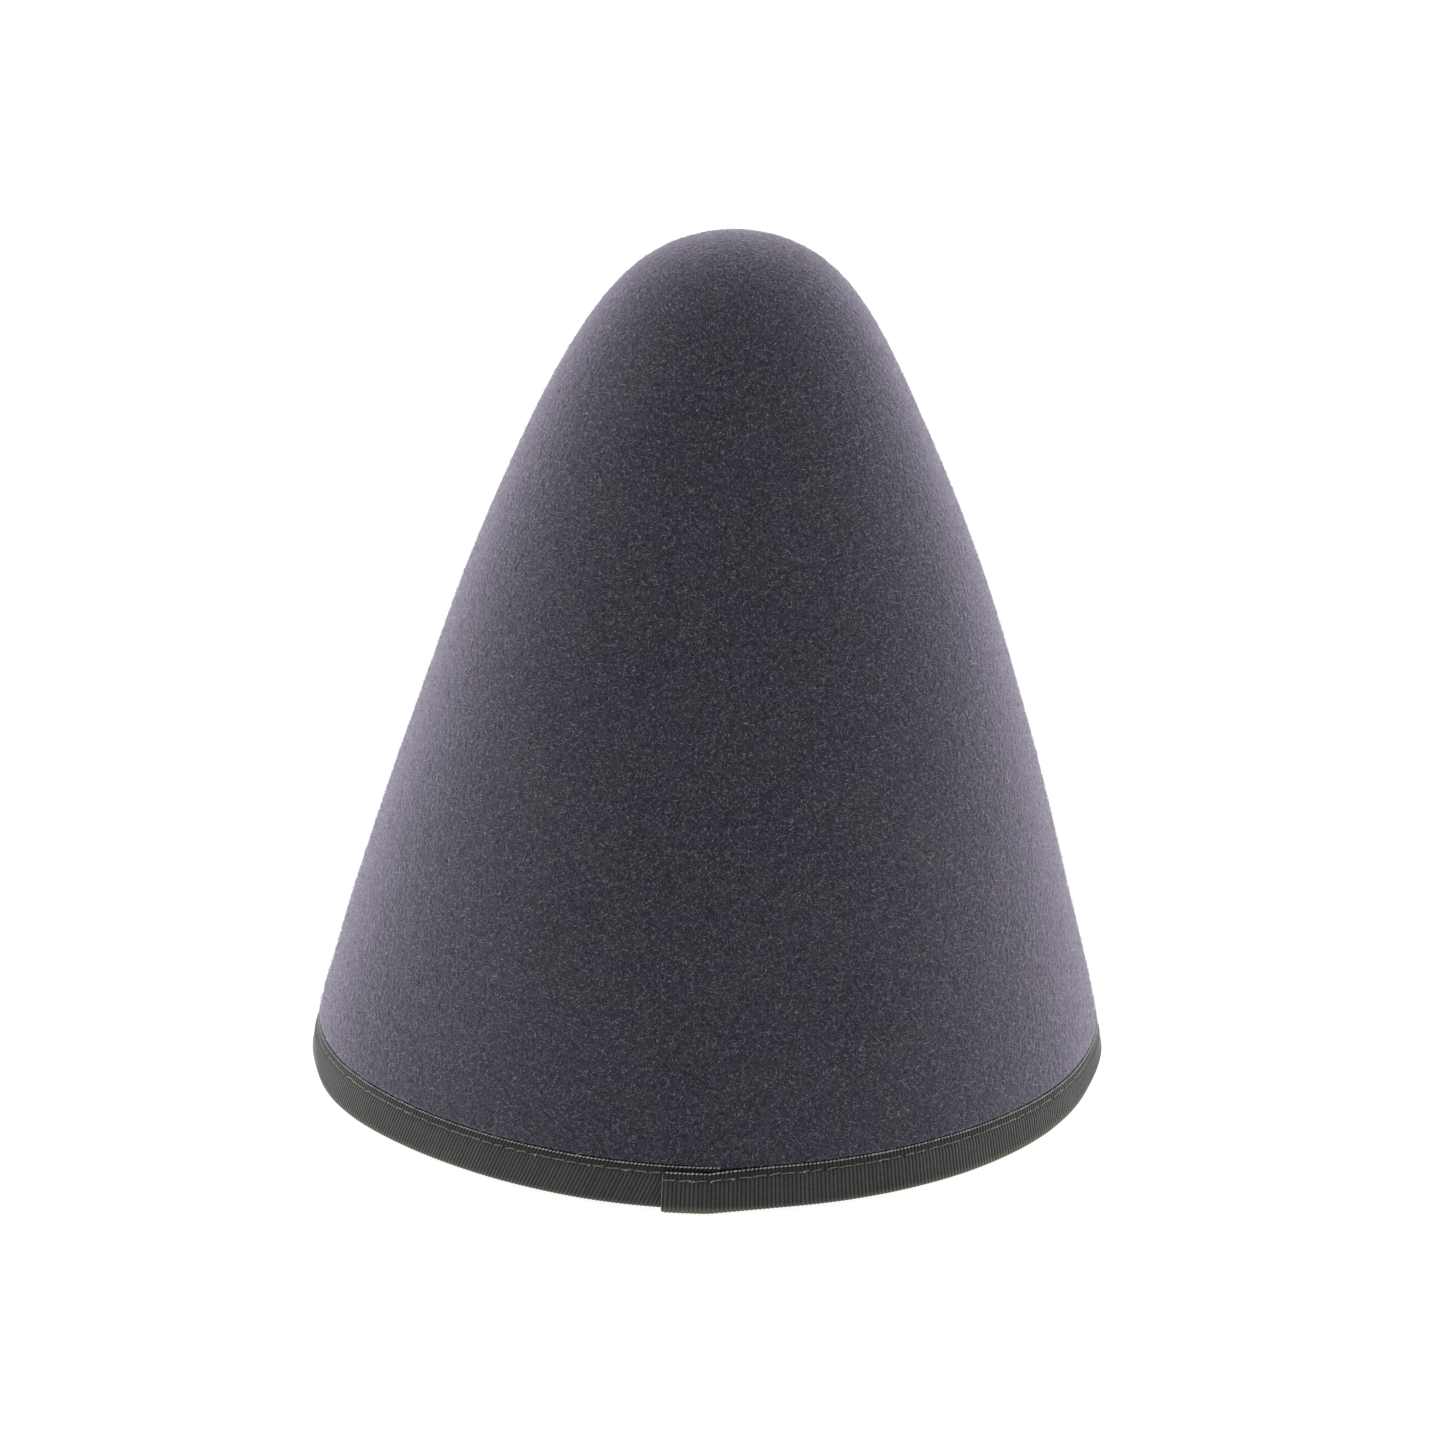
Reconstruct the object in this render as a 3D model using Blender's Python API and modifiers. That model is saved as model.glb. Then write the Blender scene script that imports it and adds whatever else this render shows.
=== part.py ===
"""Clown's cone hat: a blocked felt cone, and the grosgrain ribbon that is folded over its raw edge.

Lengths are in metres and bearings in degrees, +Z up. The hat stands on its rim, and the origin is on the
ground under the rim's middle. Bearing 0 is the side at -Y, where the ribbon's ends lap, and bearing 90 is +X.
"""

import math

import bmesh
import bpy

# The cone before it is shaped by hand: a true round, with a blunt tip
RIM_RADIUS = 0.0969
CONE_HEIGHT = 0.2017
TIP_BLUNTNESS = 0.65
TIP_POWER = 13.8
FLANK_BELLY = -0.135
LEAN = 0.030  # sideways travel of the middle line for each metre of height

FELT_THICKNESS = 0.0020
FLANK_COSINE = 0.974  # of the wall's slope at the rim, so that level cuts there are as thick as the felt

# The ribbon, folded in half over the felt's edge
RIBBON_THICKNESS = 0.0004
RIBBON_LEAF = 0.0089  # height of each half above the fold
FELT_GAP = 0.0003
LAYER_PITCH = 0.00052  # from one layer to the next where the ends lap
HEM_PRESS = FELT_GAP + RIBBON_THICKNESS  # the felt is pressed in, so that the ribbon lies flush
PRESS_FADE = 0.0030  # height over which the felt comes back out above the ribbon

LAP_BEARING = -6.3  # the folded end that shows
LAP_OVERLAP = 6.0
FLAP_LENGTH = 5.4  # the raw end, turned under
RAMP_LENGTH = 3.5  # bearing over which the ribbon comes down past the end that it hides
LAP_DROP = 2 * LAYER_PITCH

# The ribbon isn't folded quite in the middle: where its outer half rises, its inner half is as much lower
FOLD_COLUMNS = ("bearing", "half_turn", "rise")
FOLD_SHIFTS = (
    (82.0, 38.0, -0.0017),
    (-16.0, 22.0, 0.0004),
)

# The hat stands on the lap, which hangs lowest, and the back of its rim sags as far, down to the ground
SAG_START = 85.0
SAG_FULL = 135.0
SAG_HEIGHT = 0.045

# Where the soft wall is pushed in, or out where depth is negative
DENT_COLUMNS = ("bearing", "height", "half_turn", "half_height", "depth")
DENTS = (
    (-45.3, 0.000, 37.7, 0.060, 0.0068),
    (57.6, 0.000, 39.8, 0.060, 0.0045),
    (-85.4, 0.000, 10.5, 0.0029, 0.0011),
    (80.0, 0.000, 13.4, 0.0088, 0.0011),
    (-90.0, 0.034, 32.0, 0.018, -0.0006),
    (-90.0, 0.095, 40.0, 0.024, 0.0006),
    (-90.0, 0.168, 55.0, 0.020, -0.0004),
    (90.0, 0.022, 30.0, 0.016, -0.0005),
    (90.0, 0.158, 50.0, 0.022, 0.0004),
)
DENT_LEAST_RADIUS = 0.030  # nearer the middle line than this the dents fade out

# Facets
ROUND_STEPS = 72
CONE_ROWS = 15
RIBBON_STEPS = 96
LEAF_ROWS = (1.0, 0.8, 0.4)  # as shares of a leaf's height
CORNER_STEPS = 3
FOLD_STEPS = 4
RAMP_STEPS = 4
PRESS_ROWS = 2

FELT_BOTTOM = HEM_PRESS
LEAF_TOP = RIBBON_LEAF
WALL_WIDTH = FELT_THICKNESS / FLANK_COSINE


def smooth(share):
    share = min(1.0, max(0.0, share))
    return share * share * (3 - 2 * share)


def cone_radius(height, rim=RIM_RADIUS, top=CONE_HEIGHT):
    """A paraboloid, drawn in along the flank and swollen at the tip."""
    rise = height / top
    swell = 1 + TIP_BLUNTNESS * abs(rise) ** TIP_POWER + FLANK_BELLY * rise * (1 - rise)
    return rim * math.sqrt(max(0.0, (1 - rise) * swell))


def felt_radius(height):
    """The felt's outer face, pressed in where the ribbon lies over it."""
    out = smooth((height - LEAF_TOP) / PRESS_FADE)
    return cone_radius(height) - HEM_PRESS * (1 - out)


def inner_radius(height):
    """The felt's inner face: level with the ribbon it keeps the wall's width, and above it has a cone of its own."""
    own = smooth((height - LEAF_TOP) / PRESS_FADE)
    above = cone_radius(height, RIM_RADIUS - WALL_WIDTH, CONE_HEIGHT - FELT_THICKNESS)
    return (1 - own) * (felt_radius(height) - WALL_WIDTH) + own * above


def turn_between(bearing, other):
    return (bearing - other + 180) % 360 - 180


def dent_at(bearing, height):
    depth = 0.0
    for row in DENTS:
        dent = dict(zip(DENT_COLUMNS, row))
        along = turn_between(bearing, dent["bearing"]) / dent["half_turn"]
        up = (height - dent["height"]) / dent["half_height"]
        depth += dent["depth"] * math.exp(-along * along - up * up)
    return depth


def sag_at(bearing, height):
    from_lap = abs(turn_between(bearing, LAP_BEARING))
    share = smooth((from_lap - SAG_START) / (SAG_FULL - SAG_START))
    return LAP_DROP * share * math.exp(-((height / SAG_HEIGHT) ** 2))


def shaped(bearing, radius, height):
    """Where a point of the true round cone lies on the hat, once it is dented, sagging at the back and leaning."""
    radius -= dent_at(bearing, height) * min(1.0, radius / DENT_LEAST_RADIUS)
    turn = math.radians(bearing)
    return (
        radius * math.sin(turn) + LEAN * height,
        -radius * math.cos(turn),
        height - sag_at(bearing, height),
    )


def shape_by_hand(mesh):
    for vertex in mesh.vertices:
        x, y, z = vertex.co
        bearing = math.degrees(math.atan2(x, -y))
        vertex.co = shaped(bearing, math.hypot(x, y), z)


def cone_heights(bottom, top):
    """Rows from the rim to the tip, closer together towards the tip, where the wall curves most."""
    pressed = [LEAF_TOP + PRESS_FADE * k / PRESS_ROWS for k in range(PRESS_ROWS + 1)]
    start = math.sqrt(1 - pressed[-1] / top)
    curved = [top * (1 - (start * (1 - k / CONE_ROWS)) ** 2) for k in range(1, CONE_ROWS + 1)]
    hem = [bottom + (LEAF_TOP - bottom) * share for share in LEAF_ROWS[:0:-1]]
    return [bottom] + hem + pressed + curved


def new_object(name, mesh, material, collection, parent):
    item = bpy.data.objects.new(name, mesh)
    item.data.materials.append(material)
    item.parent = parent
    collection.objects.link(item)
    return item


def new_material(name, colour, roughness):
    material = bpy.data.materials.new(name)
    material.use_nodes = True
    shader = material.node_tree.nodes["Principled BSDF"]
    shader.inputs["Base Color"].default_value = (*colour, 1.0)
    shader.inputs["Roughness"].default_value = roughness
    shader.inputs["Metallic"].default_value = 0.0
    return material


def turned_mesh(name, profile):
    """The closed solid that a profile in the XZ plane makes when it is turned once about Z."""
    line = bpy.data.meshes.new(name + "_profile")
    line.from_pydata([(x, 0.0, z) for x, z in profile], [(k, k + 1) for k in range(len(profile) - 1)], [])
    item = bpy.data.objects.new(name + "_profile", line)
    bpy.context.scene.collection.objects.link(item)
    screw = item.modifiers.new("turn", "SCREW")
    screw.axis = "Z"
    screw.angle = math.tau
    screw.steps = screw.render_steps = ROUND_STEPS
    screw.use_merge_vertices = True
    screw.merge_threshold = 0.00002
    graph = bpy.context.evaluated_depsgraph_get()
    mesh = bpy.data.meshes.new_from_object(item.evaluated_get(graph))
    bpy.data.objects.remove(item)
    mesh.name = name
    return mesh


def make_felt_cone(material, collection, parent):
    """Outer face from the tip down to the rim, the cut edge, and the inner face back up to the tip."""
    outer = [(felt_radius(z), z) for z in cone_heights(FELT_BOTTOM, CONE_HEIGHT)]
    inner = [(inner_radius(z), z) for z in cone_heights(FELT_BOTTOM, CONE_HEIGHT - FELT_THICKNESS)]
    mesh = turned_mesh("felt_cone", outer[::-1] + inner)
    shape_by_hand(mesh)
    mesh.shade_smooth()
    return new_object("felt_cone", mesh, material, collection, parent)


def ribbon_path():
    """(bearing, layer) along the ribbon: the flap that is turned under, the fold, once round, and the hidden end."""
    hidden_end = LAP_BEARING + LAP_OVERLAP
    flap_end = LAP_BEARING + FLAP_LENGTH
    path = [(flap_end, 1.0), (flap_end - FLAP_LENGTH / 2, 1.0)]
    fold_turn = math.degrees(LAYER_PITCH / 2 / RIM_RADIUS)
    for k in range(FOLD_STEPS + 1):
        angle = math.pi * k / FOLD_STEPS
        path.append((LAP_BEARING + fold_turn * (1 - math.sin(angle)), 1.5 - 0.5 * math.cos(angle)))
    path.append((flap_end - FLAP_LENGTH / 2, 2.0))
    start = hidden_end + 0.2
    for k in range(RAMP_STEPS):
        share = k / RAMP_STEPS
        path.append((start + RAMP_LENGTH * share, 2.0 * (1 - smooth(share))))
    start += RAMP_LENGTH
    steps = round(RIBBON_STEPS * (hidden_end + 360 - start) / 360)
    for k in range(steps + 1):
        path.append((start + (hidden_end + 360 - start) * k / steps, 0.0))
    return path


def fold_shift_at(bearing):
    shift = 0.0
    for row in FOLD_SHIFTS:
        place = dict(zip(FOLD_COLUMNS, row))
        along = turn_between(bearing, place["bearing"]) / place["half_turn"]
        shift += place["rise"] * math.exp(-along * along)
    return shift


def ribbon_section(bearing, layer):
    """The ribbon's middle line across its width, as (radius, height) on the true round cone: down the outside
    of the felt, round its edge and up the inside."""
    reach = FELT_GAP + RIBBON_THICKNESS / 2 + layer * LAYER_PITCH
    corner = []
    for k in range(CORNER_STEPS + 1):
        angle = math.pi / 2 * k / CORNER_STEPS
        corner.append((reach * math.cos(angle), FELT_BOTTOM - reach * math.sin(angle)))
    halves = []
    for rise in (fold_shift_at(bearing), -fold_shift_at(bearing)):
        leaf = LEAF_TOP + rise - layer * LAYER_PITCH - FELT_BOTTOM
        halves.append([(reach, FELT_BOTTOM + leaf * share) for share in LEAF_ROWS] + corner)
    outer = [(felt_radius(min(height, LEAF_TOP)) + out, height) for out, height in halves[0]]
    inner = [(inner_radius(height) - out, height) for out, height in halves[1]]
    return outer + inner[::-1]


def make_rim_binding(material, collection, parent):
    """A sheet that follows the path and the section, given the ribbon's thickness."""
    path = ribbon_path()
    sections = [ribbon_section(bearing, layer) for bearing, layer in path]
    across = len(sections[0]) - 1
    along = len(path) - 1
    sheet = bmesh.new()
    bmesh.ops.create_grid(sheet, x_segments=along, y_segments=across, size=1.0)
    for vertex in sheet.verts:
        place = round((vertex.co.x + 1) / 2 * along)
        radius, height = sections[place][round((vertex.co.y + 1) / 2 * across)]
        vertex.co = shaped(path[place][0], radius, height)
    mesh = bpy.data.meshes.new("rim_binding")
    sheet.to_mesh(mesh)
    sheet.free()
    mesh.shade_smooth()
    mesh.set_sharp_from_angle(angle=math.radians(50))
    item = new_object("rim_binding", mesh, material, collection, parent)
    wall = item.modifiers.new("thickness", "SOLIDIFY")
    wall.thickness = RIBBON_THICKNESS
    wall.offset = 0.0
    wall.use_even_offset = True
    return item


def set_on_origin(holder, items):
    """Moves what holds the pieces so that their box stands on the ground, centred over the origin."""
    graph = bpy.context.evaluated_depsgraph_get()
    corners = [corner for item in items for corner in item.evaluated_get(graph).bound_box]
    low = [min(corner[axis] for corner in corners) for axis in range(3)]
    high = [max(corner[axis] for corner in corners) for axis in range(3)]
    holder.location = (-(low[0] + high[0]) / 2, -(low[1] + high[1]) / 2, -low[2])


def main():
    for item in list(bpy.data.objects):
        bpy.data.objects.remove(item)
    collection = bpy.data.collections.new("clown_cone_hat")
    bpy.context.scene.collection.children.link(collection)
    holder = bpy.data.objects.new("hat", None)
    collection.objects.link(holder)
    felt = new_material("slate_felt", (0.050, 0.046, 0.060), 0.95)
    ribbon = new_material("charcoal_grosgrain", (0.036, 0.036, 0.034), 0.60)
    items = [
        make_felt_cone(felt, collection, holder),
        make_rim_binding(ribbon, collection, holder),
    ]
    bpy.context.view_layer.update()
    set_on_origin(holder, items)


main()
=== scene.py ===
# Clown's cone hat: a cone of grey wool felt with a charcoal grosgrain ribbon folded over its rim.
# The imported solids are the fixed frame. This script gives them their cloth, nap, thread, light and camera.
# Lengths are in metres and bearings in degrees: 0 is the side at -Y, where the ribbon's ends lap, 90 is +X.
import math

import bmesh
import bpy
from mathutils import Matrix, Vector


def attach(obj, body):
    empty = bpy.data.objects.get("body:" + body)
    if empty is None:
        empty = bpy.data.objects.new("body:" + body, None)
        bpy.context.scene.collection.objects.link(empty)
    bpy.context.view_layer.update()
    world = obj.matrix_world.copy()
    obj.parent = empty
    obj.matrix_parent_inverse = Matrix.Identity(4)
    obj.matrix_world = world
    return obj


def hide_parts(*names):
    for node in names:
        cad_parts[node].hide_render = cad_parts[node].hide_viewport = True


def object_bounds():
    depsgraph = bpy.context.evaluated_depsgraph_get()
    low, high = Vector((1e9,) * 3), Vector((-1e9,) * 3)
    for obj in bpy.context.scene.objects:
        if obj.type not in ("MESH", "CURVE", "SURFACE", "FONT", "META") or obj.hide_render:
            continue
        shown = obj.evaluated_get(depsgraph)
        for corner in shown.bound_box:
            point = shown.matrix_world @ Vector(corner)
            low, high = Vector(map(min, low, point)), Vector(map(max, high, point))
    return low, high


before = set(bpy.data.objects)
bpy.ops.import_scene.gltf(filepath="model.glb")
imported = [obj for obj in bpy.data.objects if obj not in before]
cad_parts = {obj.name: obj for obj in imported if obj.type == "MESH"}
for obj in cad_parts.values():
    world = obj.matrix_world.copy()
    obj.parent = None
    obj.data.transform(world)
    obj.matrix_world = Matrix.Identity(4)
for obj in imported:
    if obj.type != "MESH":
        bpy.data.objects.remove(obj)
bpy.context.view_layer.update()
print("frame loaded")


# Nodes

class Field:  # a node's output that can be written in sums: each operator adds its Math node
    def __init__(self, socket):
        self.socket = socket

    def other(self, name):
        return Field(self.socket.node.outputs[name])

    def __add__(self, value):
        return calc("ADD", self, value)

    def __radd__(self, value):
        return calc("ADD", value, self)

    def __sub__(self, value):
        return calc("SUBTRACT", self, value)

    def __rsub__(self, value):
        return calc("SUBTRACT", value, self)

    def __mul__(self, value):
        return calc("MULTIPLY", self, value)

    def __rmul__(self, value):
        return calc("MULTIPLY", value, self)

    def __truediv__(self, value):
        return calc("DIVIDE", self, value)

    def __rtruediv__(self, value):
        return calc("DIVIDE", value, self)

    def __pow__(self, value):
        return calc("POWER", self, value)


def addNode(tree, kind, settings=None, sockets=None, output=0):
    # settings are set first, then each socket gets its value or its link
    node = tree.nodes.new(kind)
    for name, value in (settings or {}).items():
        setattr(node, name, value)
    pairs = sockets.items() if isinstance(sockets, dict) else enumerate(sockets or [])
    for key, value in pairs:
        if isinstance(value, Field):
            tree.links.new(value.socket, node.inputs[key])
        elif value is not None:
            node.inputs[key].default_value = value
    return Field(node.outputs[output])


def calc(operation, *values):
    tree = next(value.socket.id_data for value in values if isinstance(value, Field))
    return addNode(tree, "ShaderNodeMath", {"operation": operation}, values)


def vectorCalc(operation, *values, output=0):
    # the fourth value is the factor of SCALE
    tree = next(value.socket.id_data for value in values if isinstance(value, Field))
    return addNode(tree, "ShaderNodeVectorMath", {"operation": operation}, values, output)


def smoothRise(value, low, high):
    sockets = {"Value": value, "From Min": low, "From Max": high}
    return addNode(value.socket.id_data, "ShaderNodeMapRange", {"interpolation_type": "SMOOTHSTEP"}, sockets)


def noise(place, scale, detail=2.0, roughness=0.5, distortion=0.0):
    sockets = {"Vector": place, "Scale": scale, "Detail": detail, "Roughness": roughness,
               "Distortion": distortion}
    return addNode(place.socket.id_data, "ShaderNodeTexNoise", {}, sockets)


def mixColours(amount, low, high):
    tree = amount.socket.id_data
    settings = {"data_type": "RGBA", "clamp_factor": True}
    return addNode(tree, "ShaderNodeMix", settings, {0: amount, 6: low, 7: high}, 2)


def newTree(name, sizes):
    # a geometry tree with one named input for each size
    kinds = {int: "NodeSocketInt", float: "NodeSocketFloat", bpy.types.Material: "NodeSocketMaterial"}
    tree = bpy.data.node_groups.new(name, "GeometryNodeTree")
    tree.interface.new_socket("Mesh", in_out="INPUT", socket_type="NodeSocketGeometry")
    tree.interface.new_socket("Mesh", in_out="OUTPUT", socket_type="NodeSocketGeometry")
    for label, value in sizes.items():
        socket = tree.interface.new_socket(label, in_out="INPUT", socket_type=kinds[type(value)])
        socket.default_value = value
    inputs = tree.nodes.new("NodeGroupInput")
    return tree, {socket.name: Field(socket) for socket in inputs.outputs if socket.name}


def endTree(tree, mesh):
    tree.links.new(mesh.socket, tree.nodes.new("NodeGroupOutput").inputs[0])


def endWithMaterial(tree, mesh, material):
    mesh = addNode(tree, "GeometryNodeRealizeInstances", {}, [mesh])
    endTree(tree, addNode(tree, "GeometryNodeSetMaterial", {}, {"Geometry": mesh, "Material": material}))


def useTree(piece, tree, sizes=None):
    modifier = piece.modifiers.new(tree.name, "NODES")
    modifier.node_group = tree
    for socket in tree.interface.items_tree:
        if socket.in_out == "INPUT" and socket.name in (sizes or {}):
            modifier[socket.identifier] = sizes[socket.name]


def newPiece(name, mesh):
    piece = bpy.data.objects.new(name, mesh)
    bpy.context.scene.collection.objects.link(piece)
    return piece


def toPlainMesh(piece):
    # the modifiers' result takes the place of the mesh that they worked on
    graph = bpy.context.evaluated_depsgraph_get()
    mesh = bpy.data.meshes.new_from_object(piece.evaluated_get(graph), preserve_all_data_layers=True,
                                           depsgraph=graph)
    mesh.name = piece.name
    piece.modifiers.clear()
    piece.data = mesh
    print(f"{piece.name}: {sum(len(face.vertices) - 2 for face in mesh.polygons)} triangles")
    return piece


# The cone's true form and how it is shaped by hand

hat = {
    "rimRadius": 0.0969,
    "height": 0.2017,
    "tipBluntness": 0.65,
    "tipPower": 13.8,
    "flankBelly": -0.135,
    "lean": 0.030,
    "waviness": 0.00022,
    "wavesPerMetre": 28.0,
    "dentLeastRadius": 0.030,
    "dents": (
        {"bearing": -45.3, "height": 0.000, "halfTurn": 37.7, "halfHeight": 0.0600, "depth": 0.0068},
        {"bearing": 57.6, "height": 0.000, "halfTurn": 39.8, "halfHeight": 0.0600, "depth": 0.0045},
        {"bearing": -85.4, "height": 0.000, "halfTurn": 10.5, "halfHeight": 0.0029, "depth": 0.0011},
        {"bearing": 80.0, "height": 0.000, "halfTurn": 13.4, "halfHeight": 0.0088, "depth": 0.0011},
        {"bearing": -88.0, "height": 0.0155, "halfTurn": 28.0, "halfHeight": 0.0055, "depth": -0.0005},
        {"bearing": -90.0, "height": 0.034, "halfTurn": 32.0, "halfHeight": 0.018, "depth": -0.0006},
        {"bearing": -90.0, "height": 0.095, "halfTurn": 40.0, "halfHeight": 0.024, "depth": 0.0006},
        {"bearing": -90.0, "height": 0.168, "halfTurn": 55.0, "halfHeight": 0.020, "depth": -0.0004},
        {"bearing": 90.0, "height": 0.022, "halfTurn": 30.0, "halfHeight": 0.016, "depth": -0.0005},
        {"bearing": 90.0, "height": 0.158, "halfTurn": 50.0, "halfHeight": 0.022, "depth": 0.0004},
    ),
}
felt = {
    "thickness": 0.0020,
    "flankCosine": 0.974,
    "pressFade": 0.0030,
    "shownFade": 0.0009,  # the felt swells out again just above the ribbon
    "creaseDepth": 0.00019,
    "creaseHeight": 0.00030,
    "creaseMiddle": 0.4,  # of its height above the ribbon
    "creaseRows": 14,
    "innerCreaseRows": 6,
    "creaseFrom": 0.0018,  # how far below the ribbon's edge the close rows start
    "hemRows": 5,
    "roundSteps": 200,
    "outerRows": 72,
    "innerRows": 44,
}
ribbon = {
    "thickness": 0.0004,
    "cordlessThickness": 0.00030,
    "leaf": 0.0089,
    "flatSize": (0.020, 0.625),
    "feltGap": 0.0003,
    "layerPitch": 0.00052,
    "ribPitch": 0.0010,
    "ribDepth": 0.00010,
    "ribPhases": (0.0, 0.17, 0.5, 0.83),  # of the columns over one rib, from the valley beside it
    "valleyPower": 3.5,
    "lapBearing": -6.3,
    "lapOverlap": 6.0,
    "flapLength": 5.4,
    "rampGap": 0.2,  # from the end of the hidden layer to the ramp that falls off it
    "rampLength": 12.0,
    "skew": 25.0,
    "skewReach": 75.0,
    "cornerSteps": 2,
    "foldShifts": (
        {"bearing": 82.0, "halfTurn": 38.0, "rise": -0.0017},
        {"bearing": -16.0, "halfTurn": 22.0, "rise": 0.0004},
        {"bearing": 32.0, "halfTurn": 28.0, "rise": 0.0004},
    ),
    "foldHangs": (  # where the fold hangs a little below the felt's edge
        {"bearing": 54.0, "halfTurn": 24.0, "drop": 0.0006},
        {"bearing": -62.0, "halfTurn": 24.0, "drop": 0.0003},
    ),
}
sag = {"start": 85.0, "full": 135.0, "height": 0.045}
stitch = {
    "row": 3,  # of the leaf's rows, from its selvedge
    "shown": (0.6, 359.7),  # bearings past the lap
    "pitch": 0.0036,
    "below": 0.00175,  # the selvedge
    "length": 0.0033,
    "radius": 0.00014,
    "bowOut": 0.00007,
    "bowUp": 0.00021,
    "dip": 0.00016,
    "slant": 3.0,
    "jitter": 12.0,
    "proud": 0.00022,
    "faces": 6,
}
selvedge = {
    "length": 0.00062,
    "radius": 0.00018,
    "bowOut": 0.00013,
    "bowUp": 0.00006,
    "dip": 0.00016,
    "slant": 16.0,
    "jitter": 9.0,
    "proud": 0.0001,
    "faces": 5,
}
lint = {
    "pasts": (3.6, 4.1, 6.6, 9.6, 19.6, 31.0, 338.5, 347.0, 352.6),  # bearings past the lap
    "length": 0.0006,
    "radius": 0.0001,
    "bowOut": 0.00025,
    "bowUp": 0.0002,
    "dip": 0.00005,
    "slant": 20.0,
    "jitter": 70.0,
    "proud": 0.00022,
    "faces": 4,
}
threadScales = (0.85, 1.12)
threadSeed = 3
threadArcSteps = 5

hemPress = ribbon["feltGap"] + ribbon["thickness"]
wallWidth = felt["thickness"] / felt["flankCosine"]
lapDrop = 2 * ribbon["layerPitch"]


def smooth(share):
    share = min(1.0, max(0.0, share))
    return share * share * (3 - 2 * share)


def coneRadius(height, rim=hat["rimRadius"], top=hat["height"]):
    rise = height / top
    swell = 1 + hat["tipBluntness"] * abs(rise) ** hat["tipPower"] + hat["flankBelly"] * rise * (1 - rise)
    return rim * math.sqrt(max(0.0, (1 - rise) * swell))


def feltRadius(height):
    # the outer face, pressed in where the ribbon lies over it
    out = smooth((height - ribbon["leaf"]) / felt["pressFade"])
    return coneRadius(height) - hemPress * (1 - out)


def innerRadius(height):
    own = smooth((height - ribbon["leaf"]) / felt["pressFade"])
    above = coneRadius(height, hat["rimRadius"] - wallWidth, hat["height"] - felt["thickness"])
    return (1 - own) * (feltRadius(height) - wallWidth) + own * above


def conePlace(tree):
    # the position that a tree works on, as x, y, height, bearing and radius
    parts = addNode(tree, "ShaderNodeSeparateXYZ", {}, [addNode(tree, "GeometryNodeInputPosition")])
    x, y = parts, parts.other("Y")
    return x, y, parts.other("Z"), calc("ARCTAN2", x, y * -1), calc("SQRT", x * x + y * y)


def turnFrom(bearing, degrees):
    return calc("WRAP", bearing - math.radians(degrees), math.pi, -math.pi)


def swellAt(bearing, row):
    # 1 at the row's bearing, fading away on both sides of it
    along = turnFrom(bearing, row["bearing"]) / math.radians(row["halfTurn"])
    return calc("EXPONENT", along * along * -1)


def makeHandTree():
    # moves each point of the true round cone to its place on the hat: dented, sagging at the back, leaning
    tree, size = newTree("shapedByHand", {
        "Lean": hat["lean"], "Lap Drop": lapDrop, "Waviness": hat["waviness"],
        "Waves Per Metre": hat["wavesPerMetre"],
    })
    x, y, z, bearing, radius = conePlace(tree)
    place = addNode(tree, "GeometryNodeInputPosition")
    depth = (noise(place, size["Waves Per Metre"], detail=2.0) * 2 - 1) * size["Waviness"]
    for dent in hat["dents"]:
        up = (z - dent["height"]) / dent["halfHeight"]
        depth = depth + dent["depth"] * swellAt(bearing, dent) * calc("EXPONENT", up * up * -1)
    dented = radius - depth * calc("MINIMUM", radius / hat["dentLeastRadius"], 1.0)
    fromLap = calc("ABSOLUTE", turnFrom(bearing, ribbon["lapBearing"]))
    back = smoothRise(fromLap, math.radians(sag["start"]), math.radians(sag["full"]))
    fade = z / sag["height"]
    drop = size["Lap Drop"] * back * calc("EXPONENT", fade * fade * -1)
    moved = addNode(tree, "ShaderNodeCombineXYZ", {}, [
        dented * calc("SINE", bearing) + size["Lean"] * z,
        dented * calc("COSINE", bearing) * -1,
        z - drop,
    ])
    mesh = addNode(tree, "GeometryNodeSetPosition", {}, {"Geometry": size["Mesh"], "Position": moved})
    endTree(tree, mesh)
    return tree


handTree = makeHandTree()


def shapedByHand(tree, mesh):
    return addNode(tree, "GeometryNodeGroup", {"node_tree": handTree}, {"Mesh": mesh})


def hatOffset():
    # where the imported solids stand, read from the tip of the felt
    tip = max((vertex.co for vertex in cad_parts["felt_cone"].data.vertices), key=lambda co: co.z)
    return Vector((tip.x - hat["lean"] * hat["height"], tip.y, tip.z - hat["height"]))


offset = hatOffset()


def placed(piece):
    piece.data.transform(Matrix.Translation(offset))
    return piece


# Materials

feltLook = {
    "ground": (0.009, 0.0088, 0.013, 1.0),
    "strand": (0.139, 0.131, 0.167, 1.0),
    "violet": (0.95, 0.93, 1.06, 1.0),
    "olive": (1.02, 1.01, 0.98, 1.0),
    "roughness": 0.95,
    "sheen": 1.0,
    "sheenRoughness": 0.42,
    "sheenTint": (0.86, 0.78, 1.0, 1.0),
    "shineLevel": 0.2,
    "strandShare": 0.62,  # of the way from ground to strand
    "groundShare": 0.15,
    "tufts": {"perMetre": 850.0, "share": 0.55, "height": 2.0},
    "clouds": {"perMetre": 30.0, "share": 0.16},
    "lumps": {"perMetre": 280.0, "share": 0.05, "height": 0.8},
    "hues": {"perMetre": 90.0, "from": 0.30, "to": 0.70, "shift": (0.5, 0.2, 0.8)},
    # painted shade: how much darker the felt's colour is made in the crease just above the ribbon
    "creaseShade": 0.72,
    "bumpStrength": 0.9,
    "bumpDepth": 0.00026,
}
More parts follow.
